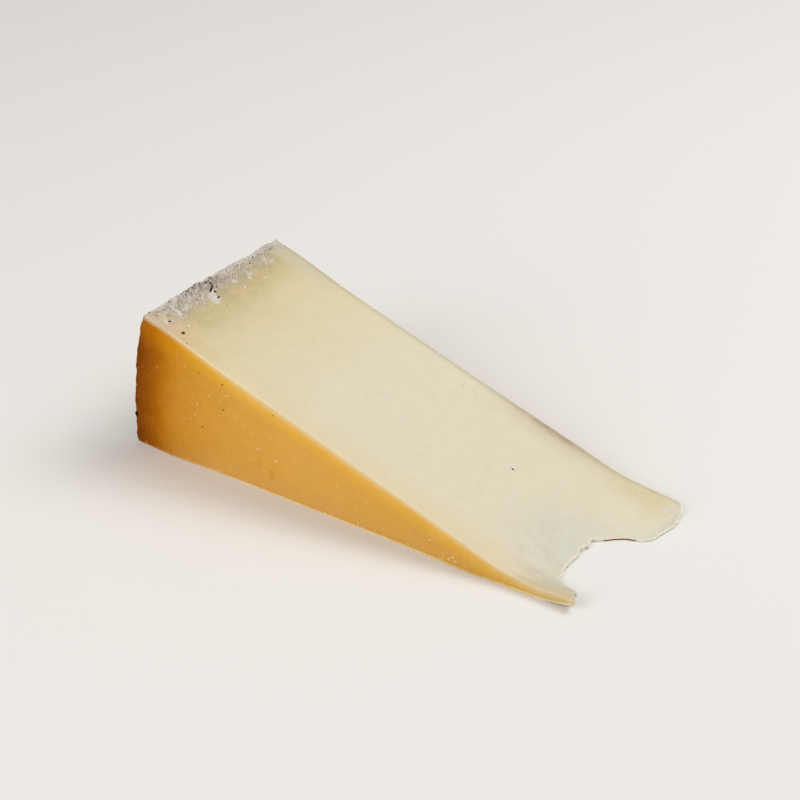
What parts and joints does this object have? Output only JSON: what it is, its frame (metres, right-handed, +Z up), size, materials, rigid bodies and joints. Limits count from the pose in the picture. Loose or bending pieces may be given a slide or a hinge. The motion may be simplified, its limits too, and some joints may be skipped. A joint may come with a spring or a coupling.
{
  "type": "cheese wedge",
  "caption": "Wedge of hard pale cheese with amber flanks and a thin crusty rind, lying on a cut face, its thin end bitten off in a ragged notch.",
  "frame": {"origin": "middle of the footprint's box, on the surface that the wedge lies on", "axes": "+X from the rind towards the bitten tip, +Y from the front flank to the back flank, +Z up"},
  "size_m": [0.1838, 0.0752, 0.0523],
  "materials": {
    "cheese": "waxy pale cream cut faces with a soft satin sheen, amber flanks, dry grey-white rind"
  },
  "bodies": {
    "root": {"cheese_wedge": "cheese"}
  },
  "joints": []
}
